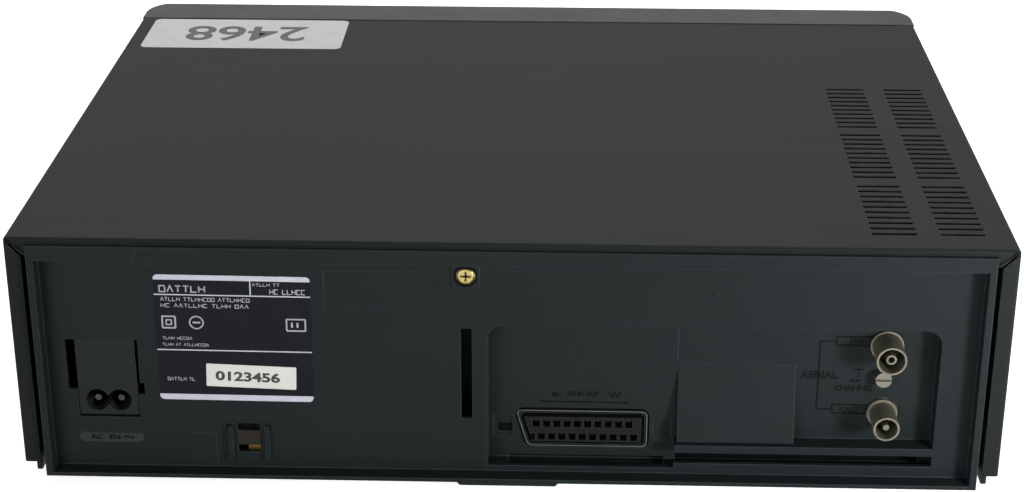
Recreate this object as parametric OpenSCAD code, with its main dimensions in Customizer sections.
// Front-loading VHS video cassette recorder, seen in the photograph from behind.
// X runs right as seen from the front, Y runs to the rear and Z up, with the
// origin on the floor under the middle of the case.

/* [Case] */
// Width of the steel cover
case_w = 360; // [352:1:380]
// Depth of the steel cover, from the fascia's seam to its rear edge
cover_d = 261; // [256:1:275]
// Height of the cover's sides
cover_h = 90.7; // [88:0.1:98]
// Thickness of the steel sheet
sheet_t = 0.8; // [0.6:0.1:1]
// Height of the cover's fold over the rear panel's groove
rear_fold_h = 6.6; // [5:0.1:6.8]
// Width of the cover's rear folds at the sides
side_fold_w = 6; // [4:0.1:6.4]
// Depth of the moulded fascia
fascia_d = 25; // [23:0.5:32]
// Height of the feet
foot_h = 5; // [3:0.5:8]
// How far the base hangs below the cover
base_drop = 4; // [3:0.5:6]
// Gap between the cover's side and the base's side
base_inset = 3.2; // [2.4:0.1:4]
// Wall of the moulded parts
wall = 2; // [1.6:0.1:2.4]

/* [Rear panel] */
// Depth of the rear panel's face behind its rim
panel_depth = 6.5; // [5:0.1:8]
// How far the rim stands behind the cover's rear edge
rim_proud = 2; // [1.4:0.1:3]
// Width of the rim at the sides
rim_w = 2.5; // [1.8:0.1:3]
// Thickness of the rim at the bottom
rim_floor = 1.5; // [1.2:0.1:2.4]
// Height of the brim that hides the cover's fold
brim_h = 5.6; // [5.6:0.1:8]
// Width of the socket recess
recess_w = 164; // [160:1:166]
// Height of the socket recess
recess_h = 57.6; // [54:0.2:60]
// Depth of the socket recess below the panel's face
recess_d = 7.5; // [6:0.5:9]
// Corner radius of the socket recess
recess_r = 6; // [3:0.5:8]
// Width of the vertical slot
slot_w = 4; // [3:0.1:5]
// Height of the vertical slot
slot_h = 36.7; // [20:0.1:38]

/* [Vents] */
// Length of one vent slot
vent_l = 16; // [10:0.5:17]
// Width of one vent slot
vent_w = 2; // [1.5:0.1:3]
// Distance from one vent slot to the next
vent_pitch = 5.05; // [4.5:0.05:5.2]
// Distance from one group of vent slots to the next
vent_group = 55; // [52:0.5:58]
// Vent slots in a group
vent_count = 10; // [4:1:10]

/* [Sockets] */
// Distance between two contacts of a row in the audio and video socket
scart_pitch = 3.81; // [3.81:0.01:3.82]
// Outer diameter of the aerial input's sleeve
aerial_in_od = 10.9; // [10:0.1:11.4]
// Outer diameter of the aerial output's sleeve
aerial_out_od = 9.5; // [9.2:0.1:9.5]
// Length of the aerial sleeves behind the recess floor
aerial_l = 14; // [11:0.5:15]
// Bore of the aerial input's centre contact
aerial_bore = 2.4; // [2.3:0.05:2.5]
// Diameter of the aerial output's centre pin
aerial_pin = 2.3; // [2.2:0.05:2.4]
// Distance between the mains inlet's pins
mains_pitch = 8.6; // [8.6:0.1:8.7]
// Diameter of the mains inlet's pins
mains_pin = 2.4; // [2.3:0.05:2.5]
// Diameter of the channel trimmer's head
trimmer_d = 6; // [4:0.1:6.5]

/* [Cassette path] */
// Width of a cassette
tape_w = 187; // [187:1:188]
// Depth of a cassette
tape_d = 103; // [102:1:104]
// Thickness of a cassette
tape_h = 25; // [25:0.1:25.4]
// Room round a cassette in the basket
tape_room = 2; // [1.5:0.1:2.5]
// Travel of the basket to the rear
basket_in = 50; // [46:1:51]
// Travel of the basket down onto the reels
basket_down = 22; // [18:0.5:24]
// Swing of the cassette flap in degrees
flap_swing = 80; // [60:1:84]

/* [Deck] */
// Height of the deck plate above the floor
deck_z = 30; // [28:0.5:31]
// Thickness of the deck plate
deck_t = 1.6; // [1.2:0.1:2]
// Diameter of the head drum
drum_d = 62; // [60:0.5:63]
// Height of the lower drum
lower_drum_h = 15; // [12:0.5:17]
// Height of the upper drum
upper_drum_h = 14; // [12:0.5:16]
// Lean of the head drum in degrees
drum_lean = 5; // [3:0.5:5.5]
// Diameter of the capstan shaft
capstan_d = 4; // [3:0.1:5]
// Diameter of the capstan's flywheel
flywheel_d = 46; // [40:0.5:50]
// Distance between the reel centres
reel_pitch = 92; // [90:0.5:94]
// Diameter of a reel table
reel_d = 42; // [38:0.5:44]
// Radial play of the turning parts on their shafts
play = 0.05; // [0.03:0.01:0.08]
// Gap between a turning part and the face it runs over
float_gap = 0.3; // [0.3:0.05:0.6]

/* [Controls] */
// Travel of a push button
button_travel = 1.2; // [0.8:0.1:1.6]
// How far a button stands out of the fascia
button_proud = 1.5; // [1.3:0.1:2]
// Gap round a button
button_gap = 0.35; // [0.3:0.05:0.6]

/* [Hidden] */
eps = 0.01;
seat = 0.3;
$fn = 48;

half_w = case_w / 2;
total_d = fascia_d + cover_d + rim_proud;
front_y = -total_d / 2;
seam_y = front_y + fascia_d;
cover_y = seam_y + cover_d;
rim_y = cover_y + rim_proud;
face_y = rim_y - panel_depth;
floor_y = face_y - recess_d;
base_z = foot_h;
floor_z = base_z + wall;
cover_z = base_z + base_drop;
top_z = cover_z + cover_h;
bend_r = 1.2;
base_hw = half_w - sheet_t - base_inset;
rim_hw = base_hw - wall - 2.2;
panel_top = top_z - 2.5;
panel_t = 2.2;
recess_x = 106 - half_w;
recess_z = base_z + 3;
recess_wall = 1.6;
floor_step = 0.6;
step_x = recess_x + 12.3;
rim_drop = 0.8;
seam_gap = 0.6;

deck_x = 135 - half_w;
basket_room = tape_w / 2 + tape_room;
basket_hw = basket_room + 1.2;
tape_z = deck_z + deck_t + 4.4;
basket_z = tape_z + basket_down;
basket_y = seam_y + 12;
flap_z = basket_z - 1;
flap_h = tape_h + 5;
flap_hw = basket_hw + 0.3;
mouth_hw = basket_hw + 0.9;
reel_y = basket_y + basket_in + tape_d / 2;
drum_y = basket_y + basket_in + tape_d + drum_d / 2 + 3;
deck_y0 = basket_y + 4;
deck_y1 = drum_y + drum_d / 2 + 1.5;
deck_hw = basket_hw + 3.3;
board_z = floor_z + 4;
board_t = 1.6;
board_top = board_z + board_t;

scart_x = recess_x + 46.9;
scart_z = base_z + 15.7;
scart_y = floor_y + 1.4;
aerial_x = recess_x - 63.5;
aerial_in_z = base_z + 51.2;
aerial_out_z = aerial_in_z - 27.5;
aerial_y = floor_y + aerial_l - 0.5;
trimmer_z = aerial_in_z - 12.3;
inlet_x = half_w - 32.2;
inlet_w = 21.9;
inlet_z = base_z + 21.8;
inlet_h = 30.5;
inlet_y = face_y - 0.4;
inlet_d = 22;
mains_z = inlet_z + 5.9;
pin_root_r = mains_pin / 2 + 0.4;
pin_room = 14;
pin_tip = 2;
slot_x = recess_x + recess_w / 2 + 7.5;
slot_z = base_z + 22.5;
screw_z = base_z + 80.2;
post_y = floor_y - 12;
latch_x = half_w - 83.5;

// Extrudes a shape drawn in X and Z from y0 to y1.
module along_y(y0, y1) {
    translate([0, y1, 0]) rotate([90, 0, 0]) linear_extrude(y1 - y0) children();
}

// Extrudes a shape drawn in Y and Z from x0 to x1.
module along_x(x0, x1) {
    translate([x0, 0, 0]) rotate([90, 0, 90]) linear_extrude(x1 - x0) children();
}

// A box given by its lowest and highest corners.
module span(low, high) {
    translate(low) cube(high - low);
}

// A rectangle with round corners, its lower left corner at the origin.
module round_rect(size, r) {
    translate([r, 0]) square([size[0] - 2 * r, size[1]]);
    translate([0, r]) square([size[0], size[1] - 2 * r]);
    for (x = [r, size[0] - r], y = [r, size[1] - r]) translate([x, y]) circle(r);
}

// An upright ring or tube.
module ring(ro, ri, h) {
    difference() {
        cylinder(r = ro, h = h);
        translate([0, 0, -eps]) cylinder(r = ri, h = h + 2 * eps);
    }
}

// A rod that points to the rear.
module rod_y(r, l) {
    rotate([-90, 0, 0]) cylinder(r = r, h = l);
}

// The end view of the cover: a top and two sides with bent corners.
module cover_section(inset, r) {
    w = 2 * (half_w - inset);
    translate([-w / 2, cover_z]) square([w, cover_h - inset - r]);
    translate([-w / 2 + r, cover_z]) square([w - 2 * r, cover_h - inset]);
    for (x = [-1, 1]) translate([x * (w / 2 - r), top_z - inset - r]) circle(r);
}

module vent_slots() {
    columns = [42.8, 18.5];
    first_y = cover_y - 146;
    for (x = columns, g = [0:2], i = [0:vent_count - 1])
        translate([x - half_w - vent_l / 2,
            first_y + g * vent_group + (i - (vent_count - 1) / 2) * vent_pitch - vent_w / 2,
            top_z - 3 * sheet_t]) cube([vent_l, vent_w, 4 * sheet_t]);
}

// The bent strip that joins a wall of the cover to its rear fold.
module fold_section(depth) {
    intersection() {
        translate([-bend_r, -bend_r]) difference() {
            circle(bend_r);
            circle(bend_r - sheet_t);
        }
        translate([-bend_r, -bend_r]) square(bend_r);
    }
    translate([-sheet_t, -depth]) square([sheet_t, depth - bend_r + eps]);
}

module top_cover() color([0.25, 0.255, 0.25]) {
    slit = 1.3;
    fold_x = half_w - side_fold_w;
    difference() {
        along_y(seam_y + seam_gap, cover_y - bend_r + eps) cover_section(0, 1.6);
        along_y(seam_y, cover_y) translate([0, -eps]) cover_section(sheet_t, 0.8);
        vent_slots();
    }
    for (s = [-1, 1]) {
        x0 = s > 0 ? base_hw + seat : -half_w + sheet_t - eps;
        x1 = s > 0 ? half_w - sheet_t + eps : -base_hw - seat;
        span([x0, seam_y + 4, cover_z], [x1, cover_y - 4, cover_z + sheet_t]);
    }
    // The top's rear fold, cut at 45 degrees at both ends.
    intersection() {
        along_x(-half_w, half_w) translate([cover_y, top_z]) fold_section(rear_fold_h);
        along_y(cover_y - 2 * bend_r, cover_y + 1) polygon([
            [-half_w + bend_r, top_z + 1], [half_w - bend_r, top_z + 1],
            [half_w - bend_r, top_z - bend_r], [half_w - rear_fold_h - 1, top_z - rear_fold_h - 1],
            [-half_w + rear_fold_h + 1, top_z - rear_fold_h - 1], [-half_w + bend_r, top_z - bend_r]]);
    }
    // The sides' rear folds.
    for (m = [0, 1]) mirror([m, 0, 0]) intersection() {
        translate([0, 0, cover_z]) linear_extrude(cover_h - bend_r - slit)
            translate([half_w, cover_y]) mirror([1, -1, 0]) fold_section(side_fold_w);
        along_y(cover_y - 2 * bend_r, cover_y + 1) polygon([
            [half_w + 1, top_z - bend_r - slit], [half_w - bend_r, top_z - bend_r - slit],
            [fold_x - 0.5, top_z - side_fold_w - slit - 0.5], [fold_x - 0.5, cover_z + 1.5],
            [fold_x + 1.5, cover_z], [half_w + 1, cover_z]]);
    }
}

// The C8 opening: two round holes joined by a narrower middle.
module figure_eight(h, pitch, w, tall) {
    r = tall / 2;
    for (x = [-1, 1]) translate([x * (w / 2 - r), 0, 0]) rod_y(r, h);
    translate([-pitch / 2, 0, -r * 0.45]) cube([pitch, h, r * 0.9]);
}

// The outline of the socket recess grown by g, round at its upper corners only.
module recess_shape(g) {
    translate([recess_x - recess_w / 2 - g, recess_z - g]) {
        round_rect([recess_w + 2 * g, recess_h + 2 * g], recess_r + g);
        square([recess_w + 2 * g, recess_h / 2]);
    }
}

// The hollow of the recess, whose floor is a little higher round the audio and video socket.
module socket_recess_hollow() {
    difference() {
        along_y(floor_y, rim_y) recess_shape(0);
        span([step_x, floor_y - 1, recess_z - 1], [half_w, floor_y + floor_step, top_z]);
    }
}

// A polygon of convex corners, counter-clockwise, rounded by r and then grown by g.
module soft_polygon(corners, r, g) {
    n = len(corners);
    // The unit normals that point into the polygon from each edge.
    inward = [for (i = [0:n - 1]) let (e = corners[(i + 1) % n] - corners[i]) [-e[1], e[0]] / norm(e)];
    centres = [for (i = [0:n - 1]) let (a = inward[(i + n - 1) % n], b = inward[i])
        corners[i] + r * (a + b) / (1 + a * b)];
    polygon([for (i = [0:n - 1], m = [inward[(i + n - 1) % n], inward[i]]) centres[i] - (r + g) * m]);
    for (c = centres) translate(c) circle(r + g);
}

// The outline of the audio and video socket, grown by g on every side.
module scart_outline(g) {
    soft_polygon([[-24.2, -7.6], [20.6, -7.6], [24.9, 7.6], [-24.2, 7.6]], 2.7, g);
}

module rear_panel() color([0.15, 0.165, 0.17]) {
    plate_x = [recess_x - 31, step_x - 0.2];
    plate_z = [base_z + 13, base_z + 42.6];
    bar_x1 = step_x + 0.7;
    bar_z = base_z + 9.4;
    rim_z = base_z - rim_drop;
    inlet_x0 = inlet_x - inlet_w / 2;
    inlet_x1 = inlet_x + inlet_w / 2;
    inlet_z1 = inlet_z + inlet_h;
    difference() {
        union() {
            span([-rim_hw, face_y - panel_t, rim_z], [rim_hw, face_y, panel_top]);
            span([-rim_hw, floor_y - recess_wall, base_z], [rim_hw, face_y, base_z + rim_floor]);
            span([-rim_hw, face_y - eps, rim_z], [rim_hw, rim_y, rim_z + rim_floor]);
            // The lip that hangs below the rim over the middle foot.
            along_y(face_y, rim_y) polygon([[-18.4, rim_z + eps], [-17.2, rim_z - 1.2],
                [18, rim_z - 1.2], [19.2, rim_z + eps]]);
            span([-rim_hw, face_y - eps, panel_top - brim_h], [rim_hw, rim_y, panel_top]);
            for (s = [-1, 1]) translate([s * (rim_hw - rim_w / 2) - rim_w / 2, face_y - eps, rim_z])
                cube([rim_w, panel_depth + eps, panel_top - rim_z]);
            along_y(floor_y - recess_wall, face_y - eps) recess_shape(recess_wall);
            // The screw's boss, the plate below the mains inlet and the plate beside the latch.
            span([slot_x - 5, face_y - eps, screw_z - 5], [slot_x + 5, face_y + 0.6, screw_z + 5]);
            along_y(face_y - eps, face_y + 0.5) translate([inlet_x - 12.2, base_z + 10.4])
                round_rect([24.3, 4.3], 1.9);
            span([latch_x + 12, face_y - eps, base_z + 1.8], [latch_x + 21.6, face_y + 0.4, base_z + 14.8]);
        }
        // The groove that takes the cover's fold.
        span([-rim_hw - 1, face_y - eps, top_z - rear_fold_h - seat],
            [rim_hw + 1, cover_y + seat, panel_top + 1]);
        socket_recess_hollow();
        translate([scart_x, 0, scart_z]) along_y(floor_y - 2 * recess_wall, floor_y + 1) scart_outline(0.5);
        for (z = [aerial_in_z, aerial_out_z]) translate([aerial_x, floor_y - 2 * recess_wall, z])
            rod_y(aerial_in_od / 2 + 0.8, 3 * recess_wall);
        translate([aerial_x + 0.8, floor_y - 2 * recess_wall, trimmer_z])
            rod_y(trimmer_d / 2 + 0.4, 3 * recess_wall);
        // Openings through the recess's lower wall, below the bar and below the socket.
        span([recess_x - recess_w / 2 + 4, floor_y - 2 * recess_wall, base_z + rim_floor + eps],
            [step_x, face_y - panel_t, bar_z]);
        span([step_x + 4.2, floor_y - 2 * recess_wall, base_z + rim_floor + eps],
            [recess_x + recess_w / 2 - 7.7, face_y - panel_t, base_z + 4.1]);
        // Pockets on both sides of the audio and video socket, and the left one's hole.
        span([step_x + 1.7, floor_y - 0.2, base_z + 12.2], [step_x + 8.3, face_y, base_z + 19.8]);
        span([recess_x + 72.7, floor_y - 0.2, base_z + 11.8], [recess_x + 79.9, face_y, base_z + 20.6]);
        span([recess_x + 73.1, floor_y - 2 * recess_wall, base_z + 13.4],
            [recess_x + 78.4, floor_y, base_z + 16.8]);
        // The mains inlet's opening and the wider gaps at its sides.
        span([inlet_x0 - seat, face_y - 2 * panel_t, inlet_z - 3 * seat],
            [inlet_x1 + seat, rim_y, inlet_z1 + seat]);
        span([inlet_x1, face_y - 2 * panel_t, inlet_z + 10.4], [inlet_x1 + 3.6, face_y + eps, inlet_z1 + seat]);
        span([inlet_x0 - 1.2, face_y - 2 * panel_t, inlet_z + 8.5], [inlet_x0, face_y + eps, inlet_z1 + seat]);
        span([inlet_x0 - 2.8, face_y - 2 * panel_t, inlet_z + 8.5], [inlet_x0, face_y + eps, inlet_z + 13.3]);
        // A shallow field beside the screw.
        span([slot_x + 9.8, face_y - 0.3, base_z + 66.4], [slot_x + 51.1, face_y + eps, base_z + 81.3]);
        // The vertical slot, the screw's hole and the latch window.
        span([slot_x - slot_w / 2, face_y - 2 * panel_t, slot_z],
            [slot_x + slot_w / 2, face_y + eps, slot_z + slot_h]);
        translate([slot_x, face_y - 2 * panel_t, screw_z]) rod_y(1.75, 4 * panel_t);
        translate([slot_x, face_y - 1.2, screw_z]) rod_y(4.1, panel_t);
        for (z = [base_z + 7, base_z + 16]) span([latch_x - 4.2, face_y - 2 * panel_t, z],
            [latch_x + 4.2, face_y + eps, z + 3]);
    }
    // The plate that slopes out between the sockets, the bar below it and the lip below the bar.
    along_x(plate_x[0], plate_x[1]) polygon([[floor_y - eps, plate_z[0]], [floor_y + 5.8, plate_z[0]],
        [floor_y + 0.3, plate_z[1]], [floor_y - eps, plate_z[1]]]);
    span([recess_x - recess_w / 2 - eps, floor_y - recess_wall, bar_z], [bar_x1, face_y, bar_z + 3]);
    span([recess_x - recess_w / 2 - eps, face_y - panel_t, recess_z - eps], [bar_x1, face_y, recess_z + 2]);
    // The ribs beside the latch window.
    for (x = [-6.9, 6.6]) span([latch_x + x - 0.8, face_y - eps, base_z + 4.5],
        [latch_x + x + 0.8, face_y + 1.6, base_z + 18.4]);
}

module base_tub() color([0.13, 0.135, 0.14]) {
    wall_h = 20;
    y0 = seam_y;
    y1 = floor_y - recess_wall - seat;
    difference() {
        union() {
            span([-base_hw, y0, base_z], [base_hw, y1, floor_z]);
            for (s = [-1, 1]) translate([s * (base_hw - wall / 2) - wall / 2, y0, base_z])
                cube([wall, cover_y - 1.5 - y0, wall_h]);
        }
        for (i = [0:9], y = [-60, 0]) translate([30 - half_w + i * 9, y, base_z - 1])
            cube([3, 40, wall + 2]);
    }
    // Posts that carry the boards and the deck.
    for (p = board_posts()) translate([p[0], p[1], floor_z - eps]) cylinder(r = 3, h = board_z - floor_z + eps);
    for (x = [-1, 1], y = [deck_y0 + 6, deck_y1 - 6])
        translate([deck_x + x * (deck_hw - 5), y, floor_z - eps]) cylinder(r = 3.4, h = deck_z - floor_z + eps);
    // The post that takes the rear panel's screw.
    difference() {
        union() {
            span([slot_x - 4, post_y, floor_z - eps], [slot_x + 4, post_y + 6, screw_z + 4]);
            translate([slot_x, post_y + 6 - eps, screw_z]) rod_y(4, face_y - panel_t - seat - post_y - 6);
        }
        translate([slot_x, post_y - 1, screw_z]) rod_y(1.55, total_d / 8);
    }
}

function board_posts() = [
    for (x = [main_x[0] + 12, recess_x + 14, main_x[1] - 15], y = [main_y0 + 8, main_y1 - 14]) [x, y],
    for (x = [power_x[0] + 10, power_x[1] - 12], y = [power_y0 + 6, power_y1 - 6]) [x, y]];

module feet() color([0.12, 0.12, 0.12]) {
    for (x = [-1, 1], y = [seam_y + 20, cover_y - 40])
        translate([x * (half_w - 30), y, 0]) {
            cylinder(r = 10, h = foot_h);
            cylinder(r = 12, h = foot_h - 2);
        }
    span([-17, floor_y - 6, 0], [18, face_y - panel_t - seat, foot_h]);
}

module fascia_plan(inset) {
    r = 16 - inset;
    w = half_w - inset;
    translate([-w, front_y + inset + r]) square([2 * w, fascia_d - inset - r]);
    translate([-w + r, front_y + inset]) square([2 * (w - r), fascia_d - inset]);
    for (s = [-1, 1]) translate([s * (w - r), front_y + inset + r]) circle(r);
}

module fascia_side(inset) {
    r = 3;
    y0 = front_y + inset;
    z0 = base_z + inset;
    h = top_z - base_z - 2 * inset;
    translate([y0, z0 + r]) square([fascia_d - inset, h - 2 * r]);
    translate([y0 + r, z0]) square([fascia_d - inset - r, h]);
    for (z = [z0 + r, z0 + h - r]) translate([y0 + r, z]) circle(r);
}

module fascia_solid(inset) {
    intersection() {
        translate([0, 0, base_z - 1]) linear_extrude(top_z - base_z + 2) fascia_plan(inset);
        along_x(-half_w - 1, half_w + 1) fascia_side(inset);
    }
}

fascia_t = 2.5;
groove_d = 1.6;
groove_y = front_y + groove_d;
groove_back = groove_y + wall;
window_x = [deck_x + mouth_hw + 9.4, half_w - 12];
window_z = [base_z + 57, base_z + 83];
window_t = 1.8;
groove_z = [base_z + 22, base_z + 48];
mouth_z0 = flap_z;
mouth_z1 = flap_z + flap_h;
hinge_r = 2.2;
hinge_y = front_y + 0.5 + hinge_r;
hinge_z = mouth_z1 - hinge_r - seat;
hinge_pin_r = 1.2;

// Each button's centre in X and Z above the base, its width and its height.
key_w = 12;
key_h = 8;
key_pitch = 14.5;
key_x = window_x[0] + 26;
key_z = 41;
low_key_z = 28;
low_key_h = 6;
power_at = [window_x[1] - 11, key_z, key_w + 2, key_h];
eject_at = [window_x[0] + 8, key_z, key_w + 2, key_h];
rewind_at = [key_x, key_z, key_w, key_h];
play_at = [key_x + key_pitch, key_z, key_w, key_h];
fast_at = [key_x + 2 * key_pitch, key_z, key_w, key_h];
stop_at = [key_x + 3 * key_pitch, key_z, key_w, key_h];
pause_at = [key_x + key_pitch, low_key_z, key_w, low_key_h];
record_at = [key_x + 2 * key_pitch, low_key_z, key_w, low_key_h];
buttons = [power_at, eject_at, rewind_at, play_at, fast_at, stop_at, pause_at, record_at];
switch_h = 3;
front_board_y = seam_y - 5;
stem_y = front_board_y - switch_h - button_travel - seat;

module front_panel() color([0.33, 0.335, 0.33]) {
    lug_x = mouth_hw + 0.2;
    difference() {
        union() {
            difference() {
                fascia_solid(0);
                intersection() {
                    fascia_solid(fascia_t);
                    span([-half_w, front_y, 0], [half_w, seam_y + 1, top_z]);
                }
                span([-half_w + fascia_t, seam_y - 1, base_z + fascia_t],
                    [half_w - fascia_t, seam_y + 1, top_z - fascia_t]);
            }
            span([window_x[0] - 2, front_y + 1.9, groove_z[0] - 12], [window_x[1] + 2, groove_back, groove_z[1] + 6]);
            for (s = [-1, 1]) translate([deck_x + s * (lug_x + 1.3) - 1.3, front_y + fascia_t - eps, hinge_z - 5])
                cube([2.6, 6, 9]);
            // Posts for the board behind the buttons.
            for (p = [[window_x[0] + 2, 15], [window_x[1] - 2, 15], [window_x[0] + 2, 51.5], [window_x[1] - 2, 51.5]])
                translate([p[0], groove_back - eps, base_z + p[1]]) rod_y(2.4, front_board_y - groove_back + eps);
        }
        span([deck_x - mouth_hw, front_y - 1, mouth_z0], [deck_x + mouth_hw, front_y + 12, mouth_z1]);
        translate([deck_x - mouth_hw - 5, hinge_y, hinge_z]) rotate([0, 90, 0])
            cylinder(r = hinge_pin_r + play, h = 2 * mouth_hw + 10);
        span([window_x[0], front_y - 1, window_z[0]], [window_x[1], front_y + window_t, window_z[1]]);
        span([window_x[0] + 1.5, front_y - 1, window_z[0] + 1.5],
            [window_x[1] - 1.5, front_y + 4, window_z[1] - 1.5]);
        span([window_x[0], front_y - 1, groove_z[0]], [window_x[1], groove_y, groove_z[1]]);
        for (b = buttons) translate([b[0] - b[2] / 2 - button_gap, groove_y - 1,
            base_z + b[1] - b[3] / 2 - button_gap]) cube([b[2] + 2 * button_gap, wall + 2, b[3] + 2 * button_gap]);
        // A shallow line below the mouth and the window, round the whole front.
        span([-half_w, front_y - 1, base_z + 15], [half_w, front_y + 0.6, base_z + 16]);
    }
}

module display_window() color([0.06, 0.06, 0.07]) {
    span([window_x[0] + 0.2, front_y, window_z[0] + 0.2],
        [window_x[1] - 0.2, front_y + window_t, window_z[1] - 0.2]);
}

module cassette_flap() color([0.3, 0.305, 0.3]) {
    span([deck_x - flap_hw, hinge_y - hinge_r, mouth_z0 + seat],
        [deck_x + flap_hw, hinge_y - hinge_r + wall, hinge_z]);
    translate([deck_x - flap_hw, hinge_y, hinge_z]) rotate([0, 90, 0]) cylinder(r = hinge_r, h = 2 * flap_hw);
    translate([deck_x - flap_hw - 2.6, hinge_y, hinge_z]) rotate([0, 90, 0])
        cylinder(r = hinge_pin_r, h = 2 * flap_hw + 5.2);
}

module push_button(b) {
    translate([b[0], 0, base_z + b[1]]) {
        span([-b[2] / 2, groove_y - button_proud, -b[3] / 2], [b[2] / 2, groove_back + 1.3, b[3] / 2]);
        span([-b[2] / 2 - 1, groove_back + seat, -b[3] / 2 - 1], [b[2] / 2 + 1, groove_back + 1.5, b[3] / 2 + 1]);
        translate([0, groove_back + 1.2, 0]) rod_y(1.8, stem_y - groove_back - 1.2);
    }
}

module power_button() color([0.3, 0.3, 0.3]) push_button(power_at);
module eject_button() color([0.3, 0.3, 0.3]) push_button(eject_at);
module rewind_button() color([0.3, 0.3, 0.3]) push_button(rewind_at);
module play_button() color([0.3, 0.3, 0.3]) push_button(play_at);
module fast_forward_button() color([0.3, 0.3, 0.3]) push_button(fast_at);
module stop_button() color([0.3, 0.3, 0.3]) push_button(stop_at);
module pause_button() color([0.3, 0.3, 0.3]) push_button(pause_at);
module record_button() color([0.45, 0.12, 0.1]) push_button(record_at);

module front_board() color([0.2, 0.35, 0.15]) {
    span([window_x[0] - 1, front_board_y, base_z + 8], [window_x[1] + 1, front_board_y + board_t, window_z[0] - 3]);
    for (b = buttons) translate([b[0] - 3, front_board_y - switch_h, base_z + b[1] - 3])
        cube([6, switch_h + eps, 6]);
}

module display_tube() color([0.2, 0.3, 0.3]) {
    span([window_x[0] + 8, front_board_y - 9, window_z[0] - 2],
        [window_x[1] - 8, front_board_y - 2, window_z[1] - 3]);
    for (i = [0:11]) translate([window_x[0] + 14 + i * 7, front_board_y - 3, window_z[0] - 6])
        cube([0.8, 3, 5]);
}

main_x = [wall + 2 - base_hw, deck_x + deck_hw];
main_y0 = -20;
main_y1 = floor_y - 2.5;
board_gap = 7;
power_x = [main_x[1] + board_gap, base_hw - wall - 2];
power_y0 = 20;
power_y1 = main_y1;

module rear_screw() color([0.72, 0.58, 0.25]) {
    translate([slot_x, face_y - 1.2, screw_z]) difference() {
        union() {
            rod_y(3.5, 1.4);
            translate([0, 1.3, 0]) rotate([-90, 0, 0]) cylinder(r1 = 3.5, r2 = 2.6, h = 0.8);
            translate([0, -14, 0]) rod_y(1.5, 14.1);
        }
        span([-2, 1.2, -0.4], [2, 3, 0.4]);
        span([-0.4, 1.2, -2], [0.4, 3, 2]);
    }
}

scart_d = 22;
scart_row = [2.3, -3.1];
scart_hole = [2.6, 2.8];

// Every contact's place, ten in the upper row and eleven in the lower.
function scart_places() = concat(
    [for (i = [0:9]) [(i - 4.5) * scart_pitch, scart_row[0]]],
    [for (i = [0:10]) [(i - 5) * scart_pitch, scart_row[1]]]);

module scart_socket() color([0.09, 0.09, 0.1]) {
    difference() {
        union() {
            translate([scart_x, 0, scart_z]) {
                along_y(scart_y - scart_d, scart_y) difference() {
                    scart_outline(0);
                    scart_outline(-1.3);
                }
                along_y(scart_y - scart_d, scart_y - 3) scart_outline(-1.2);
                along_y(scart_y - scart_d, scart_y + 1) scart_outline(-2.5);
            }
            span([scart_x - 22, scart_y - scart_d, board_top], [scart_x + 19, scart_y - scart_d + 9, scart_z - 7.5]);
        }
        for (p = scart_places()) translate([scart_x + p[0], 0, scart_z + p[1]])
            span([-scart_hole[0] / 2, scart_y - scart_d - 1, -scart_hole[1] / 2],
                [scart_hole[0] / 2, scart_y + 2, scart_hole[1] / 2]);
    }
}

module scart_contacts() color([0.6, 0.6, 0.58]) {
    for (p = scart_places()) {
        tail = p[1] > 0 ? 4 : 2;
        low = scart_z + p[1] - scart_hole[1] / 2;
        translate([scart_x + p[0] - 0.6, scart_y - scart_d - tail, 0]) {
            span([0, 0, low], [1.2, scart_d + tail - 3.5, low + 0.5]);
            span([0, 0, board_top], [1.2, 0.5, low + 0.2]);
        }
    }
}

module mains_inlet() color([0.1, 0.105, 0.11]) {
    difference() {
        union() {
            span([inlet_x - inlet_w / 2, inlet_y - inlet_d, inlet_z],
                [inlet_x + inlet_w / 2, inlet_y, inlet_z + inlet_h]);
            for (s = [-1, 1]) span([inlet_x + s * 8 - 2, inlet_y - inlet_d + 2, board_top],
                [inlet_x + s * 8 + 2, inlet_y - inlet_d + 10, inlet_z + eps]);
        }
        translate([inlet_x, inlet_y - pin_room, mains_z]) figure_eight(inlet_d, mains_pitch, 17, 8.7);
        for (s = [-1, 1]) translate([inlet_x + s * mains_pitch / 2, inlet_y - inlet_d - 1, mains_z])
            rod_y(pin_root_r + 0.02, inlet_d);
    }
}

module mains_pins() color([0.75, 0.75, 0.74]) {
    for (s = [-1, 1]) translate([inlet_x + s * mains_pitch / 2, inlet_y - inlet_d - 3, mains_z]) {
        rod_y(pin_root_r, inlet_d + 3 - pin_room);
        rod_y(mains_pin / 2, inlet_d + 3 - pin_tip);
        span([-0.5, 0, board_top - mains_z], [0.5, 1, 0]);
    }
}

can_y1 = floor_y - recess_wall - seat;
can_t = 14;

// A metal sleeve with a washer against the recess floor.
module aerial_sleeve(od, z, washer) {
    translate([aerial_x, can_y1, z]) rotate([-90, 0, 0]) ring(od / 2, od / 2 - 0.7, aerial_y - can_y1);
    translate([aerial_x, floor_y, z]) rotate([-90, 0, 0]) ring(od / 2 + washer, od / 2 - 0.1, 1.2);
}

module aerial_input() color([0.62, 0.6, 0.52]) {
    aerial_sleeve(aerial_in_od, aerial_in_z, 0.6);
    translate([aerial_x, can_y1 + 1, aerial_in_z]) rotate([-90, 0, 0]) ring(1.9, aerial_bore / 2, aerial_l - 1);
}

module aerial_output() color([0.62, 0.6, 0.52]) {
    aerial_sleeve(aerial_out_od, aerial_out_z, 0.9);
    translate([aerial_x, can_y1 + 1, aerial_out_z]) rod_y(aerial_pin / 2, aerial_l - 1);
}

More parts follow.
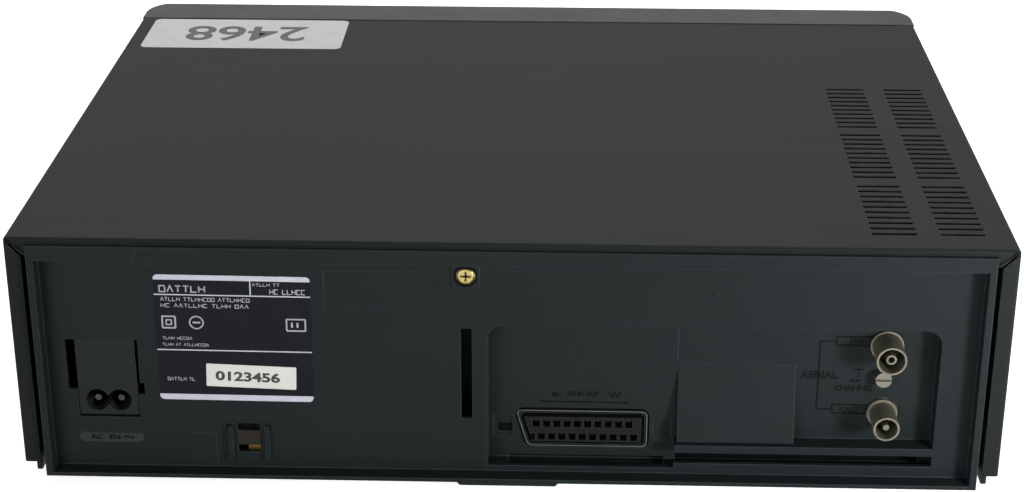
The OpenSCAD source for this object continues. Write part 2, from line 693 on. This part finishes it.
module aerial_insulators() color([0.85, 0.84, 0.78]) {
    translate([aerial_x, can_y1, aerial_in_z]) rotate([-90, 0, 0])
        ring(aerial_in_od / 2 - 0.72, 1.92, 4);
    translate([aerial_x, can_y1, aerial_out_z]) rotate([-90, 0, 0])
        ring(aerial_out_od / 2 - 0.72, aerial_pin / 2 + 0.02, 4);
}

module channel_trimmer() color([0.7, 0.7, 0.68]) {
    translate([aerial_x + 0.8, 0, trimmer_z]) difference() {
        union() {
            translate([0, can_y1 + 1, 0]) rod_y(trimmer_d / 2, 5);
            translate([0, can_y1 - 6, 0]) rod_y(1.5, 7.1);
        }
        span([-trimmer_d, can_y1 + 5, -0.5], [trimmer_d, can_y1 + 7, 0.5]);
    }
}

module tuner_can() color([0.7, 0.71, 0.7]) {
    can_sheet = 0.6;
    low = [aerial_x - 26, can_y1 - can_t, board_top];
    high = [aerial_x + 28, can_y1, aerial_in_z + aerial_in_od / 2 + 4.35];
    difference() {
        span(low, high);
        span(low + can_sheet * [1, 1, 1], high - can_sheet * [1, 1, 1]);
        translate([aerial_x + 0.8, can_y1 - 2, trimmer_z]) rod_y(1.5 + play, 3);
    }
}

module main_board() color([0.25, 0.38, 0.18]) {
    difference() {
        span([main_x[0], main_y0, board_z], [main_x[1], main_y1, board_top]);
        for (s = [-1, 1]) translate([deck_x + s * (deck_hw - 5), deck_y1 - 6, board_z - 1])
            cylinder(r = 4, h = board_t + 2);
        span([slot_x - 5, post_y - 1, board_z - 1], [slot_x + 5, main_y1 + 1, board_top + 1]);
    }
}

module power_board() color([0.45, 0.33, 0.18]) {
    span([power_x[0], power_y0, board_z], [power_x[1], power_y1, board_top]);
}

module transformer() color([0.35, 0.33, 0.3]) {
    translate([power_x[0] + 50, power_y0 + 54, board_top]) {
        for (x = [-21, -6, 13]) span([x, -14, 3], [x + (x == -6 ? 12 : 8), 14, 36]);
        span([-21, -14, 3], [21, 14, 10]);
        span([-21, -14, 30], [21, 14, 38]);
        span([-12, -20, 9], [12, 20, 31]);
        for (x = [-10, 10], y = [-15, 15]) span([x - 1, y - 1, 0], [x + 1, y + 1, 10]);
    }
}

module capacitors() color([0.12, 0.14, 0.3]) {
    // Each one's place on the power board, its radius and its height.
    inner = [[18, 76, 9, 32], [18, 54, 7, 26], [20, 36, 5, 18]];
    outer = [[12, 40, 8, 28], [10, 64, 5, 20], [22, 22, 5, 16]];
    sizes = concat([for (c = inner) [power_x[0] + c[0], c[1], c[2], c[3]]],
        [for (c = outer) [power_x[1] - c[0], c[1], c[2], c[3]]]);
    for (c = sizes) translate([c[0], power_y0 + c[1], board_top]) {
        cylinder(r = c[2], h = c[3] - 0.6);
        cylinder(r = c[2] - 0.8, h = c[3]);
    }
}

module heatsink() color([0.7, 0.7, 0.72]) {
    translate([power_x[0] + 34, power_y0 + 14, board_top]) {
        span([-22, 0, 0], [22, 2, 34]);
        for (i = [0:8]) span([-22 + i * 5.3, 1.9, 4], [-20.4 + i * 5.3, 12, 34]);
    }
}

module chips() color([0.1, 0.1, 0.1]) {
    chip_h = 3.2;
    // Each one's place on the main board, and its size.
    sizes = [[112, 20, 14, 14], [152, 12, 24, 9], [192, 24, 10, 24], [42, 20, 20, 8], [22, 60, 9, 20],
        [192, 80, 18, 18], [112, 50, 22, 9], [202, 115, 20, 8]];
    for (c = sizes) translate([main_x[0] + c[0] - c[2] / 2, main_y0 + c[1] - c[3] / 2, board_top])
        cube([c[2], c[3], chip_h]);
    // The plug between the two boards.
    span([power_x[0] + 2, power_y1 - 18, board_top], [power_x[0] + 8, power_y1 - 4, board_top + 12]);
}

deck_top = deck_z + deck_t;
drum_lift = 3.2;
reel_gear_t = 2.5;
reel_gear_z = deck_top + float_gap;
capstan_at = [deck_x - 60, drum_y - 26];
pinch_at = [deck_x - 84, drum_y - 8];
pinch_r = 6.5;
pinch_arm_z = deck_top + 6;
pinch_touch = capstan_at + (capstan_d / 2 + pinch_r + float_gap) * [-0.6, 0.8];
pinch_open = 32;
idler_pivot = [deck_x, reel_y - 30];
idler_l = 26;
idler_r = 10;
cam_at = [deck_x + 68, drum_y - 12];
cam_r = 14;
cam_teeth = 24;
cam_z = deck_top + 7;
worm_r = 4;
worm_at = [cam_at[0] + cam_r + worm_r + float_gap, cam_at[1]];
worm_z = cam_z + 2.5;
guide_path = [20, 36];
guide_at = [26, drum_y - 42];
guide_run = norm(guide_path);
guide_angle = atan2(guide_path[1], guide_path[0]);
tension_at = [deck_x + 82, reel_y + 12];
tension_tip = [-14, 21];
post_h = 12;

function turned(p, a) = [p[0] * cos(a) - p[1] * sin(a), p[0] * sin(a) + p[1] * cos(a)];

// A slot along a guide carriage's path, on the side given by s.
module guide_slot(s, w, extra) {
    translate([deck_x + s * guide_at[0], guide_at[1]]) rotate(s > 0 ? guide_angle : 180 - guide_angle) {
        translate([-extra, -w / 2]) square([guide_run + 2 * extra, w]);
        for (x = [-extra, guide_run + extra]) translate([x, 0]) circle(w / 2);
    }
}

module deck_plate() color([0.7, 0.71, 0.72]) {
    translate([0, 0, deck_z]) difference() {
        linear_extrude(deck_t) difference() {
            translate([deck_x - deck_hw, deck_y0]) round_rect([2 * deck_hw, deck_y1 - deck_y0], 4);
            for (s = [-1, 1]) guide_slot(s, 5, 2);
            translate([deck_x - 40, deck_y0 + 14]) round_rect([80, 22], 4);
            translate([deck_x + 40, deck_y0 + 40]) round_rect([40, 16], 4);
        }
        translate([capstan_at[0], capstan_at[1], -1]) cylinder(r = 6.02, h = deck_t + 2);
    }
    // Shafts and posts that the turning parts sit on.
    for (s = [-1, 1]) translate([deck_x + s * reel_pitch / 2, reel_y, deck_top - eps]) cylinder(r = 2, h = post_h);
    for (p = [[idler_pivot, 1.5, 6], [cam_at, 2.5, 12], [tension_at, 2, 9]])
        translate([p[0][0], p[0][1], deck_top - eps]) cylinder(r = p[1], h = p[2]);
    translate([pinch_at[0], pinch_at[1], deck_top - eps]) cylinder(r = 2.5, h = 14);
    // Bearings for the worm.
    for (y = [-13, 11]) difference() {
        span([worm_at[0] - 3, worm_at[1] + y, deck_top - eps], [worm_at[0] + 3, worm_at[1] + y + 2, worm_z + 3]);
        translate([worm_at[0], worm_at[1] + y - 1, worm_z]) rod_y(1 + play, 4);
    }
}

module side_frames() color([0.68, 0.69, 0.7]) {
    z1 = basket_z + tape_h + 7;
    y0 = basket_y + 6;
    y1 = basket_y + basket_in + 42;
    for (s = [-1, 1]) translate([deck_x + s * (basket_hw + 1.6) - 0.6, 0, 0]) difference() {
        union() {
            along_x(0, 1.2) translate([y0, deck_top]) round_rect([y1 - y0, z1 - deck_top], 3);
            span([-1, y0 + 4, deck_top], [2.2, y1 - 4, deck_top + 1]);
        }
        along_x(-1, 3) translate([y0 + 8, deck_top + 8]) round_rect([y1 - y0 - 16, z1 - deck_top - 16], 3);
    }
    // The bridge across the top, behind the basket's travel.
    span([deck_x - basket_hw - 2.2, y1 - 9, z1 - 1], [deck_x + basket_hw + 2.2, y1 - 1, z1 + 0.2]);
}

module lower_drum() color([0.75, 0.76, 0.78]) {
    translate([deck_x, drum_y, deck_top]) difference() {
        union() {
            cylinder(r = 24, h = drum_lift + 2);
            translate([0, 0, drum_lift]) rotate([drum_lean, 0, 0]) cylinder(r = drum_d / 2, h = lower_drum_h);
        }
        translate([0, 0, drum_lift]) rotate([drum_lean, 0, 0]) translate([0, 0, 2.5])
            cylinder(r = 2.5 + play, h = lower_drum_h);
    }
}

// Places its child on the drum's leaning axis, h above the lower drum's base.
module on_drum(h) {
    translate([deck_x, drum_y, deck_top + drum_lift]) rotate([drum_lean, 0, 0]) translate([0, 0, h]) children();
}

module upper_drum() color([0.8, 0.81, 0.83]) {
    on_drum(lower_drum_h + float_gap) difference() {
        union() {
            cylinder(r = drum_d / 2, h = upper_drum_h - 2);
            cylinder(r = drum_d / 2 - 1.2, h = upper_drum_h);
        }
        translate([0, 0, -1]) cylinder(r = 2.52, h = upper_drum_h + 2);
        translate([0, 0, upper_drum_h - 1.5]) ring(24, 8, 3);
        for (a = [0, 180]) rotate(a + 20) translate([drum_d / 2 - 3, -2.5, -1]) cube([5, 5, 3]);
        for (a = [0:60:300]) rotate(a) translate([16, 0, upper_drum_h - 4]) cylinder(r = 2, h = 6);
    }
}

module drum_shaft() color([0.7, 0.7, 0.7]) {
    on_drum(3) cylinder(r = 2.5, h = lower_drum_h + upper_drum_h - 1);
}

module capstan() color([0.72, 0.72, 0.72]) {
    translate([capstan_at[0], capstan_at[1], board_top + 2.3]) {
        cylinder(r = capstan_d / 2, h = drum_lift + 44);
        difference() {
            cylinder(r = flywheel_d / 2, h = 8);
            translate([0, 0, 2]) ring(flywheel_d / 2 - 3, 8, 8);
        }
    }
}

module capstan_bearing() color([0.75, 0.65, 0.35]) {
    translate([capstan_at[0], capstan_at[1], 0]) {
        translate([0, 0, board_top + 10.3 + float_gap]) ring(6, capstan_d / 2 + play,
            pinch_arm_z - 1 - board_top - 10.3 - float_gap);
        translate([0, 0, deck_top]) ring(9, 6 - eps, 2);
    }
}

module pinch_arm() color([0.7, 0.7, 0.66]) {
    touch = pinch_touch - pinch_at;
    rest = turned(touch, pinch_open);
    translate([pinch_at[0], pinch_at[1], pinch_arm_z]) difference() {
        union() {
            cylinder(r = 5, h = 3);
            linear_extrude(2) hull() {
                circle(4);
                translate(rest) circle(3);
            }
            translate([rest[0], rest[1], 0]) cylinder(r = 1.5, h = 19);
        }
        translate([0, 0, -1]) cylinder(r = 2.5 + play, h = 6);
    }
}

module pinch_roller() color([0.08, 0.08, 0.08]) {
    rest = pinch_at + turned(pinch_touch - pinch_at, pinch_open);
    translate([rest[0], rest[1], pinch_arm_z + 2 + float_gap]) ring(pinch_r, 1.5 + play, 15);
}

// The outline of a gear with n teeth between its root and its tip radius.
module gear_outline(n, root, tip) {
    corners = [[-0.3, root], [-0.14, tip], [0.14, tip], [0.3, root]];
    polygon([for (i = [0:n - 1], c = corners)
        let (a = 360 * (i + 0.5 + c[0]) / n) [c[1] * cos(a), c[1] * sin(a)]]);
}

// A reel table: a geared disc and a finned hub.
module reel_table(s) {
    translate([deck_x + s * reel_pitch / 2, reel_y, reel_gear_z]) difference() {
        union() {
            linear_extrude(reel_gear_t) gear_outline(60, reel_d / 2 - 1, reel_d / 2);
            cylinder(r = 12, h = 5);
            cylinder(r = 7.5, h = post_h);
            for (a = [0:60:300]) rotate(a) translate([0, -0.8, 0]) cube([9.5, 1.6, post_h - 2]);
        }
        translate([0, 0, -1]) cylinder(r = 2 + play, h = post_h + 2);
    }
}

module supply_reel() color([0.85, 0.85, 0.82]) reel_table(1);
module takeup_reel() color([0.85, 0.85, 0.82]) reel_table(-1);

module idler_arm() color([0.72, 0.72, 0.7]) {
    translate([idler_pivot[0], idler_pivot[1], reel_gear_z]) difference() {
        union() {
            cylinder(r = 4, h = 2);
            linear_extrude(1) hull() {
                circle(3);
                translate([0, idler_l]) circle(3);
            }
            translate([0, idler_l, 0]) cylinder(r = 1.2, h = 6);
        }
        translate([0, 0, -1]) cylinder(r = 1.5 + play, h = 5);
    }
}

module idler_gear() color([0.9, 0.9, 0.86]) {
    translate([idler_pivot[0], idler_pivot[1] + idler_l, reel_gear_z + 1 + float_gap]) difference() {
        union() {
            linear_extrude(3) gear_outline(28, idler_r - 1.2, idler_r - 0.2);
        }
        translate([0, 0, -1]) cylinder(r = 1.2 + play, h = 5);
    }
}

module loading_motor() color([0.6, 0.6, 0.62]) {
    translate([worm_at[0], worm_at[1] - 40, worm_z]) {
        rod_y(7, 24);
        translate([0, 24 - eps, 0]) rod_y(2.4, 1.5);
    }
    span([worm_at[0] - 6, worm_at[1] - 38, deck_top], [worm_at[0] + 6, worm_at[1] - 20, worm_z - 4]);
}

module loading_worm() color([0.88, 0.88, 0.84]) {
    translate([worm_at[0], worm_at[1] - 13.5, worm_z]) {
        rod_y(1, 27);
        translate([0, 3.2, 0]) rod_y(worm_r - 1, 20.6);
        for (i = [0:8]) translate([0, 4 + i * 2.2, 0]) rod_y(worm_r, 1);
    }
}

module cam_gear() color([0.9, 0.9, 0.86]) {
    translate([cam_at[0], cam_at[1], cam_z]) difference() {
        union() {
            linear_extrude(5) gear_outline(cam_teeth, cam_r - 1.4, cam_r);
            translate([0, 0, float_gap - cam_z + deck_top]) cylinder(r = 5, h = cam_z - deck_top);
        }
        translate([0, 0, deck_top - cam_z]) cylinder(r = 2.5 + play, h = cam_z - deck_top + 6);
        translate([8.8, 0, 3.5]) cylinder(r = 2.5, h = 3);
    }
}

// A carriage with its guide roller and slant post, at rest by the cassette.
module guide_carriage(s) {
    translate([deck_x + s * guide_at[0], guide_at[1], deck_top + float_gap]) {
        rotate(s > 0 ? guide_angle : 180 - guide_angle) translate([-5, -5, 0]) cube([11, 10, 3]);
        cylinder(r = 1.2, h = 22);
        translate([0, 0, 3 - eps]) cylinder(r = 3.2, h = 1.4);
        translate([0, 0, 6]) cylinder(r = 2.4, h = 14);
        translate([0, 0, 20 - eps]) cylinder(r = 3.2, h = 1.2);
        translate([0, 0, -deck_t - 2 * float_gap]) cylinder(r = 2, h = deck_t + 2 * float_gap + eps);
        translate([0, 0, -deck_t - 2 * float_gap - 1.2]) cylinder(r = 4, h = 1.2);
    }
}

module supply_guide() color([0.72, 0.72, 0.7]) guide_carriage(1);
module takeup_guide() color([0.72, 0.72, 0.7]) guide_carriage(-1);

// A fixed head on a bracket, its face turned by a.
module tape_head(p, a, size) {
    translate([p[0], p[1], deck_top]) rotate(a) {
        translate([-size[0] / 2 - 1.5, -size[1] / 2 - 1.5, 0]) cube([size[0] + 3, size[1] + 3, 2]);
        translate([-size[0] / 2, -size[1] / 2, 2 - eps]) cube([size[0], size[1], size[2]]);
        translate([-size[0] / 2, -size[1] / 2 - 1, 4]) cube([size[0], size[1] - 2, size[2] - 4]);
    }
}

module erase_head() color([0.78, 0.78, 0.76]) tape_head([deck_x + 70, drum_y - 36], 35, [9, 8, 20]);
module sound_head() color([0.78, 0.78, 0.76]) tape_head([deck_x - 66, drum_y + 8], -40, [11, 10, 21]);

module tension_arm() color([0.7, 0.7, 0.66]) {
    translate([tension_at[0], tension_at[1], deck_top + float_gap]) difference() {
        union() {
            cylinder(r = 4, h = 5);
            linear_extrude(1.5) hull() {
                circle(3.5);
                translate(tension_tip) circle(2.5);
            }
            translate([tension_tip[0], tension_tip[1], 0]) cylinder(r = 1.5, h = 20);
        }
        translate([0, 0, -1]) cylinder(r = 2 + play, h = 7);
    }
}

basket_pin_r = 2;
basket_pin_z = basket_z + 10;

basket_pin_y = basket_y + 29;

// Plates outside the side frames that push the basket to the rear by its pins.
module basket_sliders() color([0.85, 0.85, 0.82]) {
    z0 = deck_top + 3;
    z1 = basket_pin_z + basket_pin_r + 6;
    hw = 13;
    slot_r = basket_pin_r + seat;
    for (s = [-1, 1]) translate([deck_x + s * (basket_hw + 3 + seat) - 0.8, 0, 0]) difference() {
        along_x(0, 1.6) translate([basket_pin_y - hw, z0]) round_rect([2 * hw, z1 - z0], 3);
        along_x(-1, 3) translate([basket_pin_y, basket_pin_z - basket_down]) {
            for (z = [0, basket_down]) translate([0, z]) circle(slot_r);
            translate([-slot_r, 0]) square([2 * slot_r, basket_down]);
        }
    }
}

module cassette_basket() color([0.72, 0.73, 0.74]) {
    h = tape_h + 2.6;
    t = 1.2;
    y1 = basket_y + tape_d + 1;
    for (m = [0, 1]) translate([deck_x, 0, 0]) mirror([m, 0, 0]) {
        span([basket_room, basket_y, basket_z - t], [basket_hw, y1, basket_z + h]);
        // The lip under the cassette ends short of the loading motor.
        span([basket_room - 8, basket_y, basket_z - t], [basket_hw, y1 - 23, basket_z - eps]);
        translate([basket_hw - eps, basket_pin_y, basket_pin_z]) rotate([0, 90, 0])
            cylinder(r = basket_pin_r, h = 4.8);
    }
    span([deck_x - basket_hw, basket_y + 8, basket_z + h - t], [deck_x + basket_hw, basket_y + 70, basket_z + h]);
}

top_cover();
rear_panel();
base_tub();
feet();
front_panel();
display_window();
cassette_flap();
power_button();
eject_button();
rewind_button();
stop_button();
play_button();
fast_forward_button();
pause_button();
record_button();
rear_screw();
scart_socket();
scart_contacts();
mains_inlet();
mains_pins();
aerial_input();
aerial_output();
aerial_insulators();
channel_trimmer();
tuner_can();
main_board();
power_board();
transformer();
capacitors();
heatsink();
chips();
front_board();
display_tube();
deck_plate();
side_frames();
lower_drum();
upper_drum();
drum_shaft();
capstan();
capstan_bearing();
pinch_arm();
pinch_roller();
supply_reel();
takeup_reel();
idler_arm();
idler_gear();
loading_motor();
loading_worm();
cam_gear();
supply_guide();
takeup_guide();
erase_head();
sound_head();
tension_arm();
basket_sliders();
cassette_basket();
